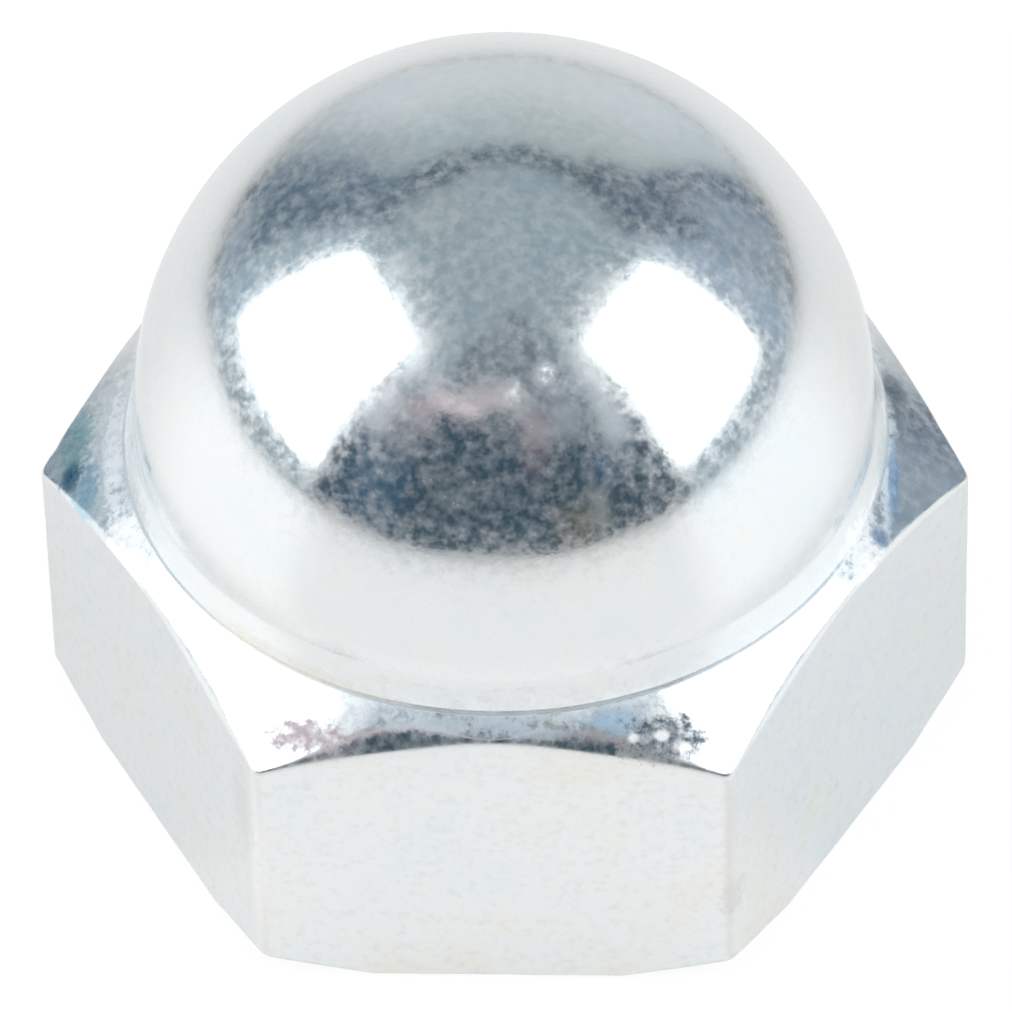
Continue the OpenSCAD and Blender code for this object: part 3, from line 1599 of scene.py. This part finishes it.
@dataclass(frozen=True)
class Tent:
    """A half sphere of cloth round the table that only mirrored rays see.

    Attributes:
        radius: its radius.
        grey: its colour where no patch lies.
        columns: faces once round.
        rows: faces from the floor to the top.
    """

    radius: Number = 0.38
    grey: Colour = (0.313, 0.388, 0.432)
    columns: int = 360
    rows: int = 120

    def build(self) -> bpy.types.Object:
        """Makes the tent.

        Returns:
            The tent.
        """
        tree = bpy.data.node_groups.new("tent_plan", "GeometryNodeTree")
        tree.is_modifier = True
        size = tree.interface.new_socket(name="Radius", in_out="INPUT", socket_type="NodeSocketFloat")
        radius = Field(tree, tree.nodes.new("NodeGroupInput").outputs["Radius"])
        column, row, _ = Place(tree, tree.nodes.new("GeometryNodeInputPosition").outputs[0]).parts()
        azimuth = column * (360 / self.columns)
        elevation = (row / self.rows + 0.5) * 90
        colour = self.grey
        for patch in TENT_PATCHES:
            colour = mixed_colour(tree, colour, patch.colour, patch.share(azimuth, elevation))
        side, lift = azimuth * (math.pi / 180), elevation * (math.pi / 180)
        place = combine(tree, side.sin() * lift.cos(), side.cos() * lift.cos() * -1, lift.sin()) * radius
        geometry = grid(tree, self.columns, self.rows)
        geometry = stored(tree, geometry, "cloth", colour, "FLOAT_COLOR")
        geometry = add_node(tree, "GeometryNodeSetPosition", Geometry=geometry, Position=place).outputs[0]
        close_tree(tree, geometry, self.cloth())
        tent = grown("studio_tent", tree, {size.identifier: self.radius})
        for ray in ("camera", "diffuse", "transmission", "volume_scatter", "shadow"):
            setattr(tent, f"visible_{ray}", False)
        return tent

    def cloth(self) -> bpy.types.Material:
        """The tent's glowing cloth."""
        made = bpy.data.materials.new("tent_cloth")
        made.use_nodes = True
        tree = made.node_tree
        tree.nodes.clear()
        colour = add_node(tree, "ShaderNodeAttribute", {"attribute_name": "cloth"}).outputs["Color"]
        glow = add_node(tree, "ShaderNodeEmission", Color=colour)
        tree.links.new(glow.outputs[0], tree.nodes.new("ShaderNodeOutputMaterial").inputs[0])
        made.cycles.emission_sampling = "NONE"
        return made


@dataclass(frozen=True)
class Floor:
    """The white floor.

    Attributes:
        radius: its radius.
        drop: gap under the nut that keeps two faces from meeting.
        cloth: its colour in plain light.
        white: its own brightness to the camera.
        shade: how much of what the camera sees is real light, which the nut can shade.
        mirrored: its own brightness in reflections.
        mirrored_shade: how much of what reflections show is real light.
        near: how far its full brightness reaches, in metres.
        far: where it has dimmed.
        dimmed: how much of its brightness is lost there, as painted dimming.
        foot_gain: painted light, how much brighter it is close to the nut.
        side_gain: painted light, how much brighter it is beside the nut, under the soft boxes.
        side_loss: painted shadow, how much darker it is close to the nut's sides.
        back_loss: painted shade, how much darker it is behind the nut.
        corner_loss: painted shade, how much darker it is far off in the two back corners.
        cool: its colour beside and behind the nut, where it is not quite white, a painted cool tint of the
            light.
    """

    radius: float = 6.0
    drop: float = 0.01 * MM
    cloth: float = 0.85
    white: float = 1.03
    shade: float = 0.12
    mirrored: float = 0.90
    mirrored_shade: float = 0.5
    near: float = 0.012
    far: float = 0.20
    dimmed: float = 0.20
    foot_gain: float = 0.15
    side_gain: float = 0.32
    side_loss: float = 0.17
    back_loss: float = 0.18
    corner_loss: float = 0.32
    cool: Colour = (0.955, 1.0, 1.02)

    # Where the painted shade in the back corners starts and how softly
    CORNER_START = 0.9
    CORNER_EDGE = 0.2
    SHADE_LOSS = 0.9
    # How cool the floor's painted tint is to the right, to the left and behind
    COOL_SLOPE = 0.35
    COOL_BASE = 0.65
    COOL_BEHIND = 0.6
    # How softly the sides and the back start
    BEHIND_GAIN = 1.6
    BESIDE_START = 0.72
    BESIDE_EDGE = 0.15
    # Distances round the nut at which the painted light and shade change
    CLOSE_START = 11 * MM
    CLOSE_EDGE = 3.5 * MM
    LOSS_START = 7 * MM
    LOSS_EDGE = 5 * MM
    LOSS_NEAR = 0.7
    LOSS_RISE = 0.3

    def build(self) -> bpy.types.Object:
        """Makes the floor.

        Returns:
            The floor.
        """
        bpy.ops.mesh.primitive_circle_add(
            vertices=96, radius=self.radius, fill_type="NGON", location=(0, 0, -self.drop)
        )
        floor = bpy.context.object
        floor.name = "studio_floor"
        floor.data.materials.append(self.material())
        return floor

    def material(self) -> bpy.types.Material:
        """White to the camera and in reflections, with the nut's soft shade; in reflections it also has
        painted light and painted shade round the nut, and painted dimming far off.

        Returns:
            The material.
        """
        made = bpy.data.materials.new("floor_white")
        made.use_nodes = True
        tree = made.node_tree
        tree.nodes.clear()
        where = Place(tree, tree.nodes.new("ShaderNodeTexCoord").outputs["Object"])
        distance = where.length()
        away = ((distance - self.near) / (self.far - self.near)).eased()
        camera, mirrored = seen_by(tree)
        beside, behind = self.sides(where, distance)
        back = where.parts()[1] / distance
        # Painted shade in the two back corners, far off
        corners = behind * ((self.CORNER_START - back) / self.CORNER_EDGE).eased() * away
        uneven = self.unevenness(distance, beside, behind) - corners * self.corner_loss
        level = (1 - away * self.dimmed) * self.mirrored + uneven
        strength = camera * self.white + mirrored * level
        share = camera * self.shade + mirrored * (self.mirrored_shade * (1 - away * self.SHADE_LOSS))
        # Painted cool tint beside and behind the nut, in reflections only
        right = where.parts()[0] / distance * self.COOL_SLOPE + self.COOL_BASE
        cooled = (beside * right + behind * self.COOL_BEHIND).kept() * mirrored
        tint = mixed_colour(tree, (1, 1, 1), self.cool, cooled)
        lit = add_node(tree, "ShaderNodeBsdfDiffuse", Color=(self.cloth, self.cloth, self.cloth, 1))
        own = add_node(tree, "ShaderNodeEmission", Color=tint, Strength=strength)
        both = add_node(tree, "ShaderNodeMixShader", Fac=share)
        tree.links.new(own.outputs[0], both.inputs[1])
        tree.links.new(lit.outputs[0], both.inputs[2])
        chosen = add_node(tree, "ShaderNodeMixShader", Fac=camera.highest(mirrored))
        tree.links.new(lit.outputs[0], chosen.inputs[1])
        tree.links.new(both.outputs[0], chosen.inputs[2])
        tree.links.new(chosen.outputs[0], tree.nodes.new("ShaderNodeOutputMaterial").inputs[0])
        made.cycles.emission_sampling = "NONE"
        return made

    def sides(self, where: Place, distance: Field) -> tuple[Field, Field]:
        """Tells the floor beside the nut and behind it from the rest.

        Args:
            where: the coordinates.
            distance: how far from the nut.

        Returns:
            How far a place lies beside the nut, and how far behind it.
        """
        x, y, _ = where.parts()
        behind = (y / distance * self.BEHIND_GAIN).eased()
        beside = ((x.size() / distance - self.BESIDE_START) / self.BESIDE_EDGE).eased()
        return beside * (1 - behind), behind

    def unevenness(self, distance: Field, beside: Field, behind: Field) -> Field:
        """The painted light and painted shade of the floor round the nut, as reflections show it.

        Args:
            distance: how far from the nut.
            beside: how far a place lies beside it.
            behind: how far it lies behind it.

        Returns:
            What is added to its brightness.
        """
        # Painted light close to the nut and, further off, beside it; painted shadow close to its sides;
        # painted shade behind it
        close = 1 - ((distance - self.CLOSE_START) / self.CLOSE_EDGE).eased()
        further = ((distance - self.LOSS_START) / self.LOSS_EDGE).eased()
        loss = self.side_loss * (further * self.LOSS_RISE + self.LOSS_NEAR)
        flanks = beside * ((1 - close) * self.side_gain - close * loss)
        return flanks + close * self.foot_gain - behind * self.back_loss


def seen_by(tree: bpy.types.NodeTree) -> tuple[Field, Field]:
    """Tells the camera's rays, and mirrored and passed ones, from the rest.

    Args:
        tree: the material's or the world's tree.

    Returns:
        1 for a camera ray, and 1 for a mirrored or passed one.
    """
    path = tree.nodes.new("ShaderNodeLightPath").outputs
    camera = Field(tree, path["Is Camera Ray"])
    mirrored = Field(tree, path["Is Glossy Ray"]).highest(Field(tree, path["Is Transmission Ray"]))
    return camera, mirrored * (1 - camera)


@dataclass(frozen=True)
class Studio:
    """The floor, the tent with its soft boxes, and the plain world round them.

    Attributes:
        floor: the floor.
        tent: the tent.
        world_level: level of the plain light from all round.
    """

    floor: Floor = field(default_factory=Floor)
    tent: Tent = field(default_factory=Tent)
    world_level: float = 0.8

    def build(self) -> None:
        """Sets up the whole studio."""
        self.floor.build()
        self.tent.build()
        self.make_world()
        for box in SOFT_BOXES:
            box.build()
        LOG.info("studio: floor, tent and %d soft boxes", len(SOFT_BOXES))

    def make_world(self) -> None:
        """Makes the world: white behind everything, and a plain grey light on the floor."""
        world = bpy.data.worlds.new("studio_world")
        bpy.context.scene.world = world
        world.use_nodes = True
        tree = world.node_tree
        background = tree.nodes["Background"]
        background.inputs["Color"].default_value = (1, 1, 1, 1)
        camera, mirrored = seen_by(tree)
        pale = camera.highest(mirrored)
        plug(tree, pale * (1 - self.world_level) + self.world_level, background.inputs["Strength"])


@dataclass(frozen=True)
class Viewpoint:
    """The camera, far off with a long lens, looking down at the nut's front.

    Attributes:
        lens: focal length, in millimetres.
        distance: from the pivot to the camera.
        azimuth: heading from the nut to the camera, in degrees.
        elevation: its height, in degrees.
        roll: how far it leans, in degrees.
        pivot_height: height of the point that it turns round.
        aim_right: how far to its right of that point it looks.
        aim_up: how far above it.
    """

    lens: float = 403.4
    distance: float = 182.1 * MM
    azimuth: float = 2.930
    elevation: float = 47.127
    roll: float = -1.666
    pivot_height: float = 5.85 * MM
    aim_right: float = 0.048 * MM
    aim_up: float = -1.183 * MM

    def build(self) -> bpy.types.Object:
        """Makes the scene's camera.

        Returns:
            The camera.
        """
        data = bpy.data.cameras.new("camera")
        data.lens = self.lens
        data.clip_start = 1 * MM
        data.clip_end = 50.0
        camera = bpy.data.objects.new("camera", data)
        bpy.context.scene.collection.objects.link(camera)
        back = heading(self.azimuth, self.elevation)
        turned = back.to_track_quat("Z", "Y").to_matrix()
        turned = turned @ Matrix.Rotation(math.radians(self.roll), 3, "Z")
        right, up = turned.col[0], turned.col[1]
        spot = Vector((0, 0, self.pivot_height)) + right * self.aim_right + up * self.aim_up
        camera.matrix_world = Matrix.Translation(spot + back * self.distance) @ turned.to_4x4()
        bpy.context.scene.camera = camera
        return camera


def main() -> None:
    """Builds the nut, the studio and the camera."""
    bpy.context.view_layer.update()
    scene = bpy.context.scene
    scene.view_settings.view_transform = "Standard"
    scene.cycles.diffuse_bounces = 1
    scene.cycles.glossy_bounces = 3
    scene.cycles.max_bounces = 4
    Viewpoint().build()
    CapNut.from_frame(frame).build()
    Studio().build()


if __name__ == "__main__":
    main()
